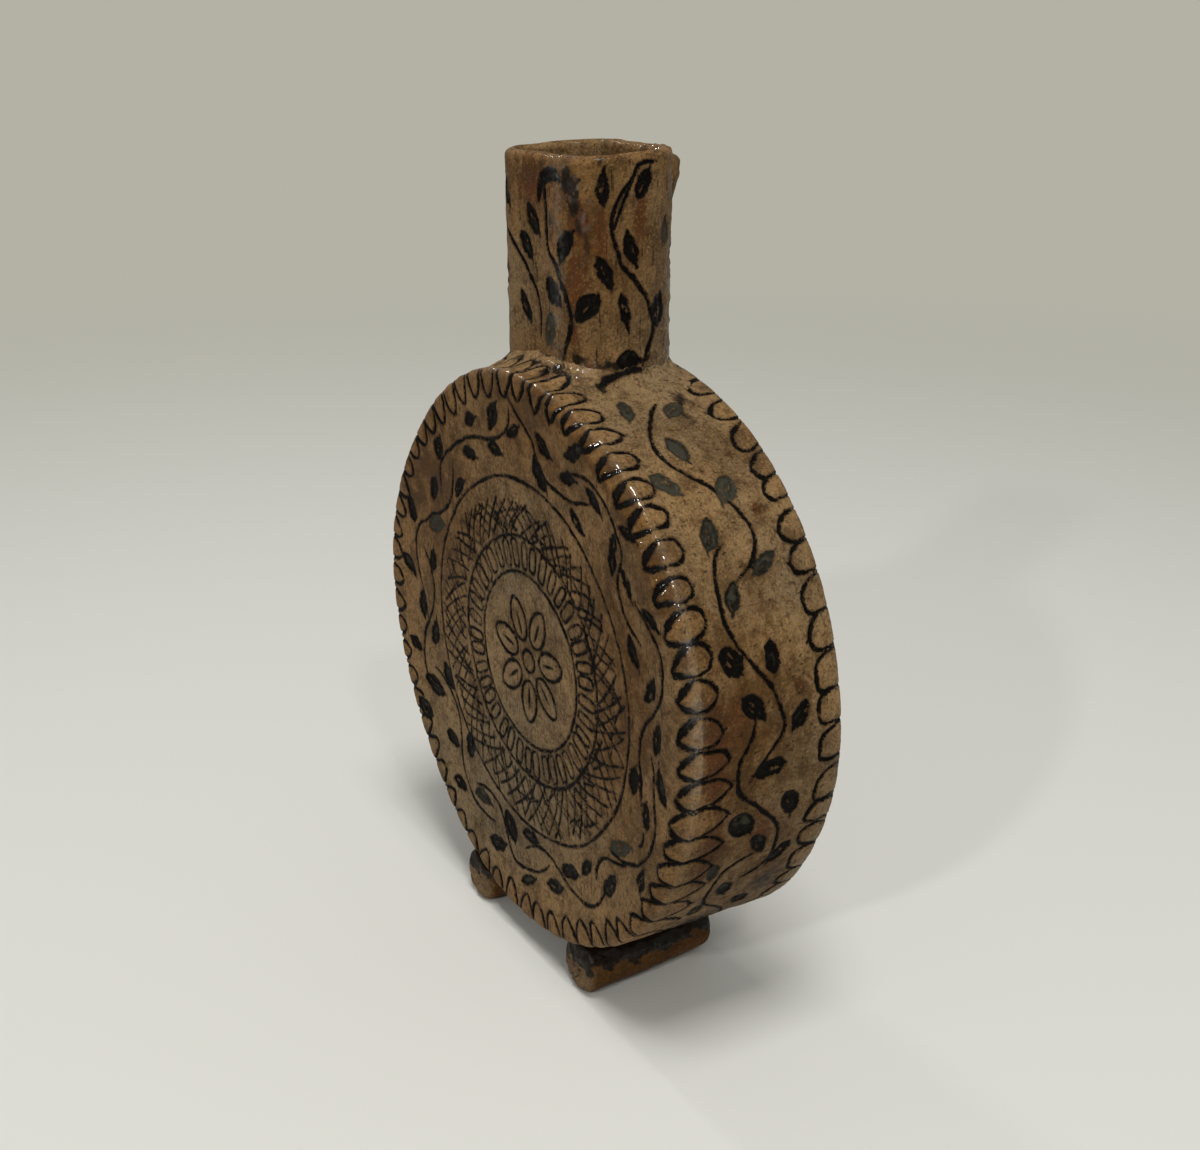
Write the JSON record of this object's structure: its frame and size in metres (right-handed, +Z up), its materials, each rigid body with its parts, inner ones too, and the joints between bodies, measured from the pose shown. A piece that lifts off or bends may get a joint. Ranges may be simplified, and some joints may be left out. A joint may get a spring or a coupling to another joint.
{
  "type": "ceramic flask vase",
  "caption": "Slab-built ceramic flask vase: round flat body with engraved faces, oblong upright neck smoothed into the shoulder, and rolled clay feet underneath.",
  "frame": {"origin": "on the ground, under the middle of the overall box", "axes": "+Z up, the front face looks towards -Y, +X at the right of someone who looks at the front face"},
  "size_m": [0.1806, 0.0534, 0.2522],
  "materials": {
    "front_slab": "thin satin glaze over brown clay, black inlay in engraved lines",
    "back_slab": "thin satin glaze over brown clay, black inlay in engraved lines",
    "side_strip": "thin glossy glaze over honey brown clay, black inlay in engraved lines",
    "inner_seam_coil": "bare fired clay",
    "neck_tube": "thin glossy glaze over honey brown clay, black inlay in engraved lines",
    "neck_collar": "glossy glaze, pooled darker",
    "neck_lap": "thin satin glaze",
    "left_foot": "bare brown clay, stained black above",
    "right_foot": "bare brown clay, stained black above"
  },
  "bodies": {
    "root": {"front_slab": "front_slab", "back_slab": "back_slab", "side_strip": "side_strip", "inner_seam_coil": "inner_seam_coil", "neck_tube": "neck_tube", "neck_collar": "neck_collar", "neck_lap": "neck_lap", "left_foot": "left_foot", "right_foot": "right_foot"}
  },
  "joints": []
}
